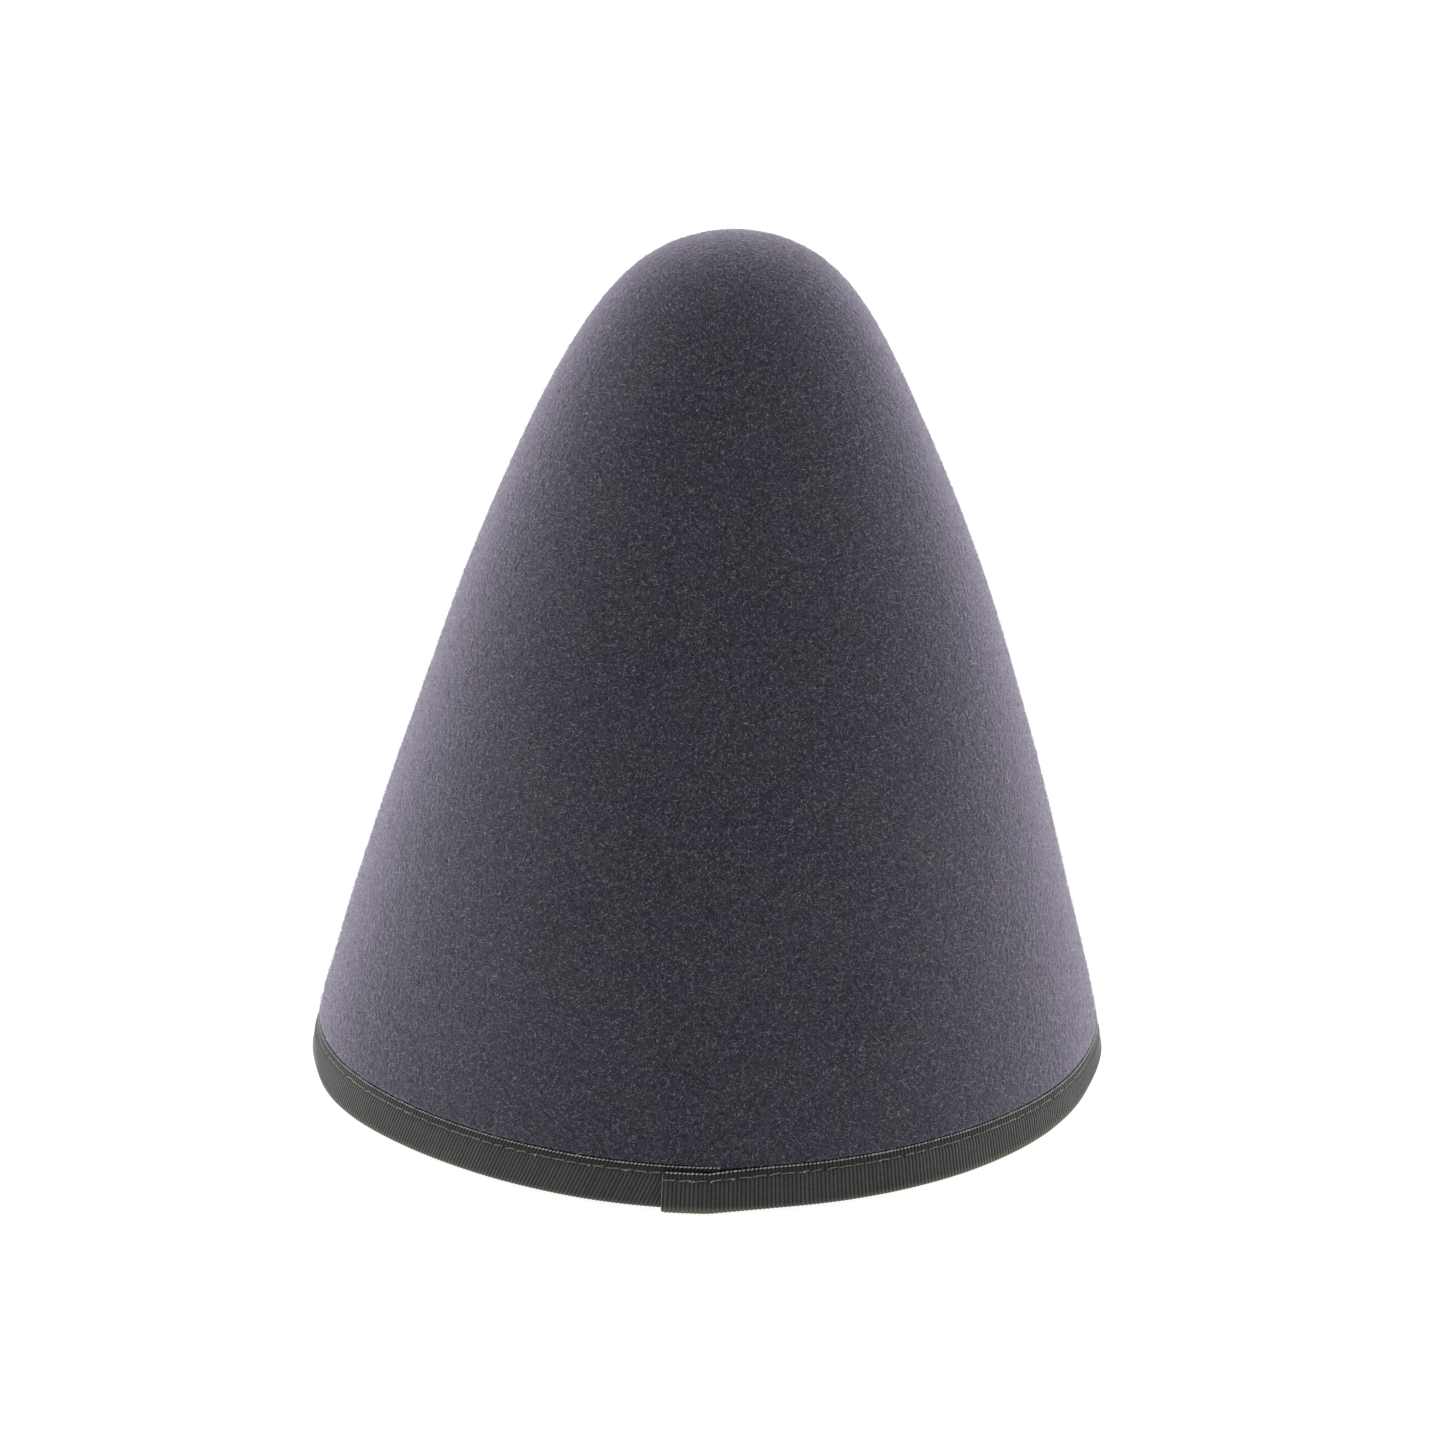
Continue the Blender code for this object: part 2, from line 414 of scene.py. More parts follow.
fibreLayers = (  # drawn short fibres, one for each cell
    {"cellsPerMetre": 930.0, "length": 0.00105, "width": 0.00016, "bend": 500.0, "shift": (0.31, 0.17, 0.23)},
    {"cellsPerMetre": 1080.0, "length": 0.0009, "width": 0.00013, "bend": -700.0, "shift": (0.07, 0.41, 0.1)},
    {"cellsPerMetre": 1010.0, "length": 0.0010, "width": 0.00015, "bend": 300.0, "shift": (0.23, 0.02, 0.37)},
)
fibreEdge = 1.25  # of half its width, where a drawn fibre has faded away
leastFibre = 0.25  # the faintest, of the brightest
ribbonLook = {
    # the rib valleys' near-black: partly the ribbon's black dye, partly painted shade in the recesses between
    # the ribs
    "valley": (0.003, 0.003, 0.003, 1.0),
    "crest": (0.076, 0.076, 0.0745, 1.0),
    # painted light: the lowest strip of the ribbon is made lighter and warmer, standing in for light bounced
    # up from the floor
    "hem": (0.140, 0.136, 0.080, 1.0),
    "roughness": 0.62,
    "sheen": 0.53,
    "sheenRoughness": 0.38,
    "sheenTint": (1.0, 0.98, 0.94, 1.0),
    "shineLevel": 0.3,
    "valleyPower": 2.5,
    "bandValleyPower": 1.0,  # of the band above the stitches, where the ribs fade
    "bandShade": 0.60,
    "bandEdge": (-0.0003, 0.0005),  # from the stitches
    # painted shade: how much darker the ribbon's colour is made along the stitch groove, and over what height
    "grooveShade": 0.60,
    "grooveHalfHeight": 0.0004,
    # the painted floor light's heights, its strength, and how much less of it the rib valleys get (painted
    # shade)
    "hemHeights": (0.0001, 0.0014),
    "hemShare": 0.7,
    "hemValleyShade": 0.6,
    "threadShade": 0.40,
    "threadPitch": 0.00046,
    "threadBump": 0.7,
    "dust": {"perMetre": 1100.0, "least": 0.30, "range": 1.4},
    "dustBump": 0.6,
    "patches": {"perMetre": 90.0, "least": 0.75, "range": 0.5},
    "ribs": {"least": 0.85, "range": 0.3},
    "bumpStrength": 0.7,
    "bumpDepth": 0.00006,
}
threadLook = {"colour": (0.135, 0.135, 0.122, 1.0), "roughness": 0.50}
loopLook = {"colour": (0.390, 0.390, 0.365, 1.0), "roughness": 0.42}
lintLook = {"colour": (0.600, 0.600, 0.580, 1.0), "roughness": 0.60}
plainSheen = 0.3
napLooks = (
    {"name": "napDark", "colour": (0.014, 0.013, 0.018, 1.0)},
    {"name": "napMid", "colour": (0.082, 0.077, 0.099, 1.0)},
    {"name": "napLight", "colour": (0.160, 0.153, 0.182, 1.0)},
    # painted back light: the standing fuzz is coloured pale where the felt is charcoal, standing in for light
    # shining through its fine fibres from behind
    {"name": "napFuzzPaintedBacklight", "colour": (0.700, 0.690, 0.710, 1.0), "tint": (0.98, 0.98, 0.98, 1.0), "sheen": 1.0},
)


def newMaterial(name, values):
    material = bpy.data.materials.new(name)
    material.use_nodes = True
    shader = material.node_tree.nodes["Principled BSDF"]
    for socket, value in values.items():
        shader.inputs[socket].default_value = value
    return material, material.node_tree, shader


def sheenValues(look):
    return {"Sheen Weight": look["sheen"], "Sheen Roughness": look["sheenRoughness"],
            "Sheen Tint": look["sheenTint"], "Roughness": look["roughness"],
            "Specular IOR Level": look["shineLevel"]}


def drawnFibres(place, normal, layer):
    # a short bent line along the surface in each cell, with a brightness of its own
    moved = vectorCalc("ADD", place, layer["shift"])
    tree = place.socket.id_data
    cells = addNode(tree, "ShaderNodeTexVoronoi", {}, {"Vector": moved, "Scale": layer["cellsPerMetre"]})
    chance = cells.other("Color")
    way = vectorCalc("NORMALIZE", vectorCalc("CROSS_PRODUCT", normal, vectorCalc(
        "SUBTRACT", chance, (0.5, 0.5, 0.5))))
    away = vectorCalc("SUBTRACT", moved, cells.other("Position"))
    along = vectorCalc("DOT_PRODUCT", away, way, output="Value")
    across = vectorCalc("DOT_PRODUCT", away, vectorCalc("CROSS_PRODUCT", normal, way), output="Value")
    across = calc("ABSOLUTE", across + along * along * layer["bend"]) / (layer["width"] / 2)
    inside = calc("MAXIMUM", fibreEdge - across, 0.0)
    ends = smoothRise(layer["length"] / 2 - calc("ABSOLUTE", along), 0.0, layer["length"] / 6)
    bright = addNode(tree, "ShaderNodeSeparateXYZ", {}, [chance])
    return calc("MINIMUM", inside, 1.0) * ends * (leastFibre + bright * (1 - leastFibre))


def makeFeltMaterial():
    look = feltLook
    material, tree, shader = newMaterial("wool felt", sheenValues(look))
    coordinates = addNode(tree, "ShaderNodeTexCoord")
    place, normal = coordinates.other("Object"), coordinates.other("Normal")
    strands = drawnFibres(place, normal, fibreLayers[0])
    for layer in fibreLayers[1:]:
        strands = calc("MAXIMUM", strands, drawnFibres(place, normal, layer))
    tufts = noise(place, look["tufts"]["perMetre"], detail=3.0, roughness=0.7)
    clouds = noise(place, look["clouds"]["perMetre"], detail=3.0, roughness=0.6)
    lumps = noise(place, look["lumps"]["perMetre"], detail=2.0)
    above = addNode(tree, "ShaderNodeAttribute", {"attribute_name": "aboveRibbon"}).other("Fac")
    # painted shade: the colour darkens in the crease along the ribbon's edge, where a shadow would fall
    near = above / felt["creaseHeight"]
    lit = 1 - calc("EXPONENT", near * near * -1) * look["creaseShade"]
    amount = strands * look["strandShare"] + look["groundShare"]
    for layer, name in ((tufts, "tufts"), (clouds, "clouds"), (lumps, "lumps")):
        amount = amount + (layer - 0.5) * look[name]["share"]
    colour = mixColours(amount * lit, look["ground"], look["strand"])
    hues = noise(vectorCalc("ADD", place, look["hues"]["shift"]), look["hues"]["perMetre"], detail=3.0)
    hue = smoothRise(hues, look["hues"]["from"], look["hues"]["to"])
    tint = mixColours(hue, look["olive"], look["violet"])
    tree.links.new(vectorCalc("MULTIPLY", colour, tint).socket, shader.inputs["Base Color"])
    height = tufts * look["tufts"]["height"] + lumps * look["lumps"]["height"]
    bump = addNode(tree, "ShaderNodeBump", {}, {
        "Strength": look["bumpStrength"], "Distance": look["bumpDepth"], "Height": height})
    tree.links.new(bump.socket, shader.inputs["Normal"])
    return material


def makeRibbonMaterial():
    look = ribbonLook
    material, tree, shader = newMaterial("grosgrain", sheenValues(look))
    weave = addNode(tree, "ShaderNodeUVMap", {"uv_map": "weave"})
    parts = addNode(tree, "ShaderNodeSeparateXYZ", {}, [weave])
    along, fromSelvedge = parts / ribbon["ribPitch"], parts.other("Y")
    turn = 2 * math.pi
    band = 1 - smoothRise(fromSelvedge, *(stitch["below"] + edge for edge in look["bandEdge"]))
    power = look["valleyPower"] - band * (look["valleyPower"] - look["bandValleyPower"])
    valley = (calc("COSINE", along * turn) * 0.5 + 0.5) ** power
    stagger = calc("MODULO", calc("FLOOR", along), 2.0) * math.pi
    threads = calc("SINE", fromSelvedge * (turn / look["threadPitch"]) + stagger) * 0.5 + 0.5
    ribs = addNode(tree, "ShaderNodeTexWhiteNoise", {"noise_dimensions": "1D"}, {"W": calc("FLOOR", along)})
    coordinates = addNode(tree, "ShaderNodeTexCoord")
    place = coordinates.other("Object")
    dust = noise(place, look["dust"]["perMetre"], detail=3.0, roughness=0.7)
    patches = noise(place, look["patches"]["perMetre"], detail=2.0)
    # painted shade in the groove along the stitches
    groove = (fromSelvedge - stitch["below"]) / look["grooveHalfHeight"]
    groove = calc("EXPONENT", groove * groove * -1)
    shade = (1 - look["threadShade"]) + threads * look["threadShade"]
    for layer, name in ((dust, "dust"), (patches, "patches"), (ribs, "ribs")):
        shade = shade * (look[name]["least"] + layer * look[name]["range"])
    shade = shade * (1 - groove * look["grooveShade"]) * (1 - band * look["bandShade"])
    # the rib valleys take a near-black colour: partly the ribbon's dye, partly painted shade between the ribs
    colour = mixColours(shade * (1 - valley), look["valley"], look["crest"])
    height = addNode(tree, "ShaderNodeSeparateXYZ", {}, [place]).other("Z")
    # painted light bounced up from the floor: the lowest strip is lighter and warmer, with less of it in the
    # rib valleys
    low = 1 - smoothRise(height, *(offset.z + edge for edge in look["hemHeights"]))
    low = low * (1 - valley * look["hemValleyShade"])
    colour = mixColours(low * look["hemShare"], colour, look["hem"])
    tree.links.new(colour.socket, shader.inputs["Base Color"])
    bump = addNode(tree, "ShaderNodeBump", {}, {
        "Strength": look["bumpStrength"], "Distance": look["bumpDepth"],
        "Height": threads * (1 - valley) * look["threadBump"] + dust * look["dustBump"]})
    tree.links.new(bump.socket, shader.inputs["Normal"])
    return material


def makePlainMaterial(name, look):
    values = {"Base Color": look["colour"], "Roughness": look["roughness"], "Sheen Weight": plainSheen}
    return newMaterial(name, values)[0]


def makeNapMaterial(look):
    return newMaterial(look["name"], {
        **sheenValues(feltLook), "Base Color": look["colour"], "Sheen Weight": look.get("sheen", 1.0),
        "Sheen Tint": look.get("tint", feltLook["sheenTint"])})[0]


feltMaterial = makeFeltMaterial()
ribbonMaterial = makeRibbonMaterial()
threadMaterial = makePlainMaterial("thread", threadLook)
loopMaterial = makePlainMaterial("selvedge", loopLook)
lintMaterial = makePlainMaterial("lint", lintLook)
napMaterials = [makeNapMaterial(look) for look in napLooks]
print("materials made")


# Felt

def makeFeltTree():
    # notes how far each point of the outside is above the ribbon, and presses the felt in under it; the
    # inside is noted as 1 m above it, which keeps the press, the crease and the nap off it
    tree, size = newTree("feltShape", {
        "Press": hemPress, "Press Fade": felt["shownFade"], "Crease Depth": felt["creaseDepth"],
        "Crease Height": felt["creaseHeight"], "Material": feltMaterial,
    })
    x, y, z, bearing, radius = conePlace(tree)
    past = calc("WRAP", bearing - math.radians(ribbon["lapBearing"]), 2 * math.pi, 0.0)
    hidden = math.radians(ribbon["lapOverlap"])
    left = calc("MAXIMUM", 1 - (past - hidden) / math.radians(ribbon["rampLength"]), 0.0)
    top = ribbon["leaf"] - calc("GREATER_THAN", past, hidden) * left * left * lapDrop
    for row in ribbon["foldShifts"]:
        top = top + swellAt(bearing, row) * row["rise"]
    away = addNode(tree, "ShaderNodeCombineXYZ", {}, [x, y, z * 0.5])
    facing = vectorCalc("DOT_PRODUCT", addNode(tree, "GeometryNodeInputNormal"), away, output="Value")
    outside = calc("GREATER_THAN", facing, 0.0)
    above = (z - top) * outside + (1 - outside)
    mesh = addNode(tree, "GeometryNodeStoreNamedAttribute", {"data_type": "FLOAT", "domain": "POINT"},
                   {"Geometry": size["Mesh"], "Name": "aboveRibbon", "Value": above})
    near = (above - size["Crease Height"] * felt["creaseMiddle"]) / size["Crease Height"]
    inwards = calc("EXPONENT", near * near * -1) * size["Crease Depth"]
    inwards = (inwards + (1 - smoothRise(above, 0.0, size["Press Fade"])) * size["Press"]) / radius * -1
    push = addNode(tree, "ShaderNodeCombineXYZ", {}, [x * inwards, y * inwards, 0.0])
    mesh = addNode(tree, "GeometryNodeSetPosition", {}, {"Geometry": mesh, "Offset": push})
    endWithMaterial(tree, shapedByHand(tree, mesh), size["Material"])
    return tree


def coneHeights(bottom, top, rows, closeRows):
    # rows of points from the rim to the tip, closest at the ribbon's edge, then closer towards the tip
    low = ribbon["leaf"] - felt["creaseFrom"]
    hem = [bottom + (low - bottom) * k / felt["hemRows"] for k in range(felt["hemRows"])]
    edge = [low + (felt["pressFade"] + felt["creaseFrom"]) * k / closeRows for k in range(closeRows + 1)]
    start = math.sqrt(1 - edge[-1] / top)
    return hem + edge + [top * (1 - (start * (1 - k / rows)) ** 2) for k in range(1, rows + 1)]


def makeFeltShell():
    innerTop = hat["height"] - felt["thickness"]
    outer = [(coneRadius(z), z)
             for z in coneHeights(hemPress, hat["height"], felt["outerRows"], felt["creaseRows"])]
    inner = [(innerRadius(z), z)
             for z in coneHeights(hemPress, innerTop, felt["innerRows"], felt["innerCreaseRows"])]
    profile = outer[::-1] + inner
    mesh = bpy.data.meshes.new("felt_shell")
    mesh.from_pydata([(x, 0.0, z) for x, z in profile], [(k, k + 1) for k in range(len(profile) - 1)], [])
    piece = newPiece("felt_shell", mesh)
    turned = piece.modifiers.new("turned", "SCREW")
    turned.angle = 2 * math.pi
    turned.steps = turned.render_steps = felt["roundSteps"]
    turned.use_merge_vertices = True
    turned.merge_threshold = 0.00001
    useTree(piece, makeFeltTree())
    toPlainMesh(piece)
    piece.data.shade_smooth()
    return placed(piece)


feltShell = makeFeltShell()


# Nap: short fibres matted down on the felt in every direction, and a fine fuzz that stands off it

matted = {
    "name": "nap_matted",
    "density": 1.2e6,
    "length": 0.00085,
    "width": 0.00012,
    "bends": (-0.34, -0.12, 0.18, 0.38),
    "tilt": (1.0, 9.0),
    "roll": 30.0,
    "ownNormal": 0.65,
    "shares": (0.18, 0.60),  # the light fibres, then the light and middle ones together
    "looks": (0, 1, 2),
    "aboveRibbon": 0.0,
    "bands": (0.0, 0.052, 0.112, 0.2100),
    "seed": 1,
}
fuzz = {
    "name": "nap_fuzz",
    "density": 2.1e6,
    "length": 0.0010,
    "width": 0.00004,
    "bends": (),
    "tilt": (32.0, 80.0),
    "roll": 60.0,
    "ownNormal": 0.20,
    "shares": (0.6, 0.8),
    "looks": (2, 3, 3),
    "aboveRibbon": 0.0003,
    "bands": (0.0, 0.2100),
    "seed": 21,
}
fibreScales = (0.6, 1.35)
fibreTaper = 0.9


def makeFibre(tree, size, bend):
    # a flat strip that starts at the origin and bends sideways, or, where it has no bend, a bare spike
    # drawn out of a circle's three corners
    if bend is None:
        spike = addNode(tree, "GeometryNodeMeshCircle", {"fill_type": "NGON"}, {"Vertices": 3, "Radius": 1.0})
        own = addNode(tree, "ShaderNodeSeparateXYZ", {}, [addNode(tree, "GeometryNodeInputPosition")])
        flat = addNode(tree, "ShaderNodeCombineXYZ", {}, [
            (own + 0.5) * size["Fibre Length"] * 0.667, own.other("Y") * size["Fibre Width"] * 0.577, 0.0])
        return addNode(tree, "GeometryNodeSetPosition", {}, {"Geometry": spike, "Position": flat})
    strip = addNode(tree, "GeometryNodeMeshGrid", {}, {
        "Size X": size["Fibre Length"], "Size Y": size["Fibre Width"], "Vertices X": 3, "Vertices Y": 2})
    own = addNode(tree, "ShaderNodeSeparateXYZ", {}, [addNode(tree, "GeometryNodeInputPosition")])
    way = own / size["Fibre Length"]
    sideways = size["Fibre Length"] * bend * (0.25 - way * way) * 4
    curve = addNode(tree, "ShaderNodeCombineXYZ", {}, [
        own + size["Fibre Length"] * 0.5, own.other("Y") * (1 - way * fibreTaper) + sideways, 0.0])
    return addNode(tree, "GeometryNodeSetPosition", {}, {"Geometry": strip, "Position": curve})


def makeNapTree(nap):
    looks = [napMaterials[k] for k in nap["looks"]]
    tree, size = newTree(nap["name"], {
        "Density": nap["density"], "Fibre Length": nap["length"], "Fibre Width": nap["width"],
        "Least Tilt": math.radians(nap["tilt"][0]), "Most Tilt": math.radians(nap["tilt"][1]),
        "Roll": math.radians(nap["roll"]), "Own Normal": nap["ownNormal"],
        "Above Ribbon": nap["aboveRibbon"], "Band Bottom": 0.0, "Band Top": 1.0, "Seed": nap["seed"],
        "Dark": looks[0], "Mid": looks[1], "Light": looks[2],
    })
    height = addNode(tree, "ShaderNodeSeparateXYZ", {}, [addNode(tree, "GeometryNodeInputPosition")])
    height = height.other("Z")
    above = addNode(tree, "GeometryNodeInputNamedAttribute", {"data_type": "FLOAT"}, {"Name": "aboveRibbon"})
    chosen = calc("GREATER_THAN", above, size["Above Ribbon"]) * calc("LESS_THAN", above, 0.5)
    chosen = chosen * calc("GREATER_THAN", height, size["Band Bottom"])
    chosen = chosen * calc("LESS_THAN", height, size["Band Top"])
    points = addNode(tree, "GeometryNodeDistributePointsOnFaces", {}, {
        "Mesh": size["Mesh"], "Selection": chosen, "Density": size["Density"], "Seed": size["Seed"]})
    joined = tree.nodes.new("GeometryNodeGeometryToInstance")
    for bend in nap["bends"] or (None,):
        tree.links.new(makeFibre(tree, size, bend).socket, joined.inputs[0])
    low = addNode(tree, "ShaderNodeCombineXYZ", {}, [size["Roll"] * -1, size["Most Tilt"] * -1, 0.0])
    high = addNode(tree, "ShaderNodeCombineXYZ", {}, [size["Roll"], size["Least Tilt"] * -1, 2 * math.pi])
    turn = addNode(tree, "FunctionNodeRandomValue", {"data_type": "FLOAT_VECTOR"},
                   {0: low, 1: high, "Seed": size["Seed"]})
    turn = addNode(tree, "FunctionNodeEulerToRotation", {}, [turn])
    lying = addNode(tree, "FunctionNodeRotateRotation", {"rotation_space": "LOCAL"},
                    [points.other("Rotation"), turn])
    scale = addNode(tree, "FunctionNodeRandomValue", {"data_type": "FLOAT"},
                    {2: fibreScales[0], 3: fibreScales[1], "Seed": size["Seed"] + 7}, 1)
    mesh = addNode(tree, "GeometryNodeInstanceOnPoints", {}, {
        "Points": points, "Instance": Field(joined.outputs[0]), "Pick Instance": True, "Rotation": lying,
        "Scale": scale})
    shade = addNode(tree, "FunctionNodeRandomValue", {"data_type": "FLOAT"}, {"Seed": size["Seed"] + 11}, 1)
    mesh = addNode(tree, "GeometryNodeStoreNamedAttribute", {"data_type": "FLOAT", "domain": "INSTANCE"},
                   {"Geometry": mesh, "Name": "shade", "Value": shade})
    mesh = addNode(tree, "GeometryNodeRealizeInstances", {}, [mesh])
    mesh = addNode(tree, "GeometryNodeSetShadeSmooth", {}, [mesh])
    own = vectorCalc("SCALE", addNode(tree, "GeometryNodeInputNormal"), None, None, size["Own Normal"])
    ground = vectorCalc("SCALE", points.other("Normal"), None, None, 1 - size["Own Normal"])
    mesh = addNode(tree, "GeometryNodeSetMeshNormal", {"mode": "FREE", "domain": "POINT"},
                   {"Mesh": mesh, "Custom Normal": vectorCalc("NORMALIZE", vectorCalc("ADD", own, ground))})
    read = addNode(tree, "GeometryNodeInputNamedAttribute", {"data_type": "FLOAT"}, {"Name": "shade"})
    mesh = addNode(tree, "GeometryNodeSetMaterial", {}, {"Geometry": mesh, "Material": size["Dark"]})
    for label, most in (("Mid", nap["shares"][1]), ("Light", nap["shares"][0])):
        mesh = addNode(tree, "GeometryNodeSetMaterial", {}, {
            "Geometry": mesh, "Selection": calc("LESS_THAN", read, most), "Material": size[label]})
    endTree(tree, mesh)
    return tree


def makeNap(nap):
    tree = makeNapTree(nap)
    pieces = []
    for k, (bottom, top) in enumerate(zip(nap["bands"], nap["bands"][1:])):
        piece = newPiece(f"{nap['name']}_{k + 1}", feltShell.data.copy())
        useTree(piece, tree, {"Band Bottom": bottom, "Band Top": top, "Seed": nap["seed"] + k})
        pieces.append(toPlainMesh(piece))
    return pieces


napPieces = makeNap(matted) + makeNap(fuzz)
print("felt and nap made")


# Ribbon

degree = math.radians(1) * hat["rimRadius"]


def ribbonStations():
    # (bearing, layer, along, bearing past the lap) of each column: flap, fold, once round, hidden end
    lap, pitch = ribbon["lapBearing"], ribbon["layerPitch"]
    foldTurn = pitch / 2 / degree
    flap = ribbon["flapLength"] * degree
    fold = math.pi * pitch / 2
    whole = flap + fold + (360 + ribbon["lapOverlap"]) * degree
    stations = []
    for rib in range(int(whole / ribbon["ribPitch"])):
        for phase in ribbon["ribPhases"]:
            along = (rib + phase) * ribbon["ribPitch"]
            if along < flap:
                stations.append((lap + foldTurn + (flap - along) / degree, 1.0, along, 0.0))
            elif along < flap + fold:
                angle = math.pi * (along - flap) / fold
                layer = 1.5 - 0.5 * math.cos(angle)
                stations.append((lap + foldTurn * (1 - math.sin(angle)), layer, along, 0.0))
            else:
                past = (along - flap - fold) / degree
                fallen = (past - ribbon["lapOverlap"] - ribbon["rampGap"]) / ribbon["rampLength"]
                left = min(1.0, max(0.0, 1 - fallen))
                stations.append((lap + foldTurn + past, 2 * left * left, along, past))
    return stations


outerLeaf = (  # how far below the selvedge, and how far the leaf stands out there
    (0.0000, 0.00002),
    (0.0006, 0.00002),
    (0.0012, -0.00008),
    (0.00175, -0.00020),
    (0.0023, 0.00006),
    (0.0032, 0.00018),
)
innerLeaf = (
    (0.0000, 0.00004),
    (0.00175, -0.00010),
    (0.0026, 0.00006),
)
lowerShares = (0.45, 0.80)  # of what is left of a leaf's height


def sumAt(bearing, rows, name):
    total = 0.0
    for row in rows:
        along = ((bearing - row["bearing"] + 180) % 360 - 180) / row["halfTurn"]
        total += row[name] * math.exp(-along * along)
    return total


def ribbonSection(bearing, layer, along, past):
    # (radius, height, distance from the selvedge) down the outside, round the felt's edge and up the inside
    reach = ribbon["feltGap"] + ribbon["thickness"] / 2 + layer * ribbon["layerPitch"]
    drop = lapDrop if past == 0.0 else layer * ribbon["layerPitch"]
    shift = sumAt(bearing, ribbon["foldShifts"], "rise")
    bottom = hemPress - sumAt(bearing, ribbon["foldHangs"], "drop")
    halves = []
    for rows, rise in ((outerLeaf, shift), (innerLeaf, -shift)):
        top = ribbon["leaf"] + rise - drop
        half = [(reach + out, top - below) for below, out in rows]
        left = half[-1][1] - bottom
        half += [(reach, half[-1][1] - left * share) for share in lowerShares]
        for k in range(ribbon["cornerSteps"] + 1):
            angle = math.pi / 2 * k / ribbon["cornerSteps"]
            half.append((reach * math.cos(angle), bottom - reach * math.sin(angle)))
        lengths = [0.0]
        for (outA, heightA), (outB, heightB) in zip(half, half[1:]):
            lengths.append(lengths[-1] + math.hypot(outB - outA, heightB - heightA))
        halves.append([(out, height, length) for (out, height), length in zip(half, lengths)])
    outer = [(feltRadius(min(z, ribbon["leaf"])) + out, z, length) for out, z, length in halves[0]]
    inner = [(innerRadius(z) - out, z, length) for out, z, length in halves[1]]
    return outer + inner[::-1]


outsideRows = len(outerLeaf) + len(lowerShares) + ribbon["cornerSteps"] + 1


def roundPlace(station, section, row, lifted=0.0):
    # a point of the ribbon on the true round cone; ribs slant where the ribbon runs up to the lap
    bearing, layer, along, past = station
    radius, height, length = section[row]
    outside = row < outsideRows
    if outside:
        fromEnd = (360 - past) / ribbon["skewReach"]
        slant = math.tan(math.radians(ribbon["skew"] * math.exp(-fromEnd * fromEnd)))
        bearing += slant * max(0.0, height - hemPress) / degree
    radius += lifted if outside else -lifted
    turn = math.radians(bearing)
    return Vector((radius * math.sin(turn), -radius * math.cos(turn), height))


def makeWeaveTree():
    # raises the ribs on both faces
    tree, size = newTree("grosgrainRibs", {
        "Rib Pitch": ribbon["ribPitch"], "Rib Depth": ribbon["ribDepth"], "Material": ribbonMaterial,
    })
    weave = addNode(tree, "GeometryNodeInputNamedAttribute", {"data_type": "FLOAT_VECTOR"}, {"Name": "weave"})
    parts = addNode(tree, "ShaderNodeSeparateXYZ", {}, [weave])
    turned = calc("COSINE", parts / size["Rib Pitch"] * (2 * math.pi)) * 0.5 + 0.5
    wave = (1 - turned ** ribbon["valleyPower"] * 2) * size["Rib Depth"]
    push = vectorCalc("SCALE", addNode(tree, "GeometryNodeInputNormal"), None, None, wave)
    mesh = addNode(tree, "GeometryNodeSetPosition", {}, {"Geometry": size["Mesh"], "Offset": push})
    endWithMaterial(tree, shapedByHand(tree, mesh), size["Material"])
    return tree


def makeRibbon():
    stations = ribbonStations()
    sections = [ribbonSection(*station) for station in stations]
    rows = len(sections[0])
    sheet = bmesh.new()
    weave = sheet.loops.layers.uv.new("weave")
    points = [[sheet.verts.new(roundPlace(station, section, row)) for row in range(rows)]
              for station, section in zip(stations, sections)]
    for column in range(len(stations) - 1):
        for row in range(rows - 1):
            corners = ((column, row), (column, row + 1), (column + 1, row + 1), (column + 1, row))
            face = sheet.faces.new([points[a][b] for a, b in corners])
            for loop, (a, b) in zip(face.loops, corners):
                loop[weave].uv = (stations[a][2], sections[a][b][2])
    mesh = bpy.data.meshes.new("ribbon_grosgrain")
    sheet.to_mesh(mesh)
    sheet.free()
    piece = newPiece("ribbon_grosgrain", mesh)
    wall = piece.modifiers.new("thickness", "SOLIDIFY")
    wall.thickness = ribbon["cordlessThickness"]
    wall.offset = 0.0
    useTree(piece, makeWeaveTree())
    toPlainMesh(piece)
    piece.data.shade_smooth()
    return placed(piece), stations, sections


ribbonPiece, stations, sections = makeRibbon()
print("ribbon made")


# Thread: stitches through both leaves, and the loops of the two selvedges

def linePiece(name, row, columns, proud):
    # a line of points along one row of the ribbon, where its thread is put
    places = [roundPlace(stations[k], sections[k], row, proud) for k in columns]
    mesh = bpy.data.meshes.new(name)
    mesh.from_pydata(places, [(k, k + 1) for k in range(len(places) - 1)], [])
    return newPiece(name, mesh)


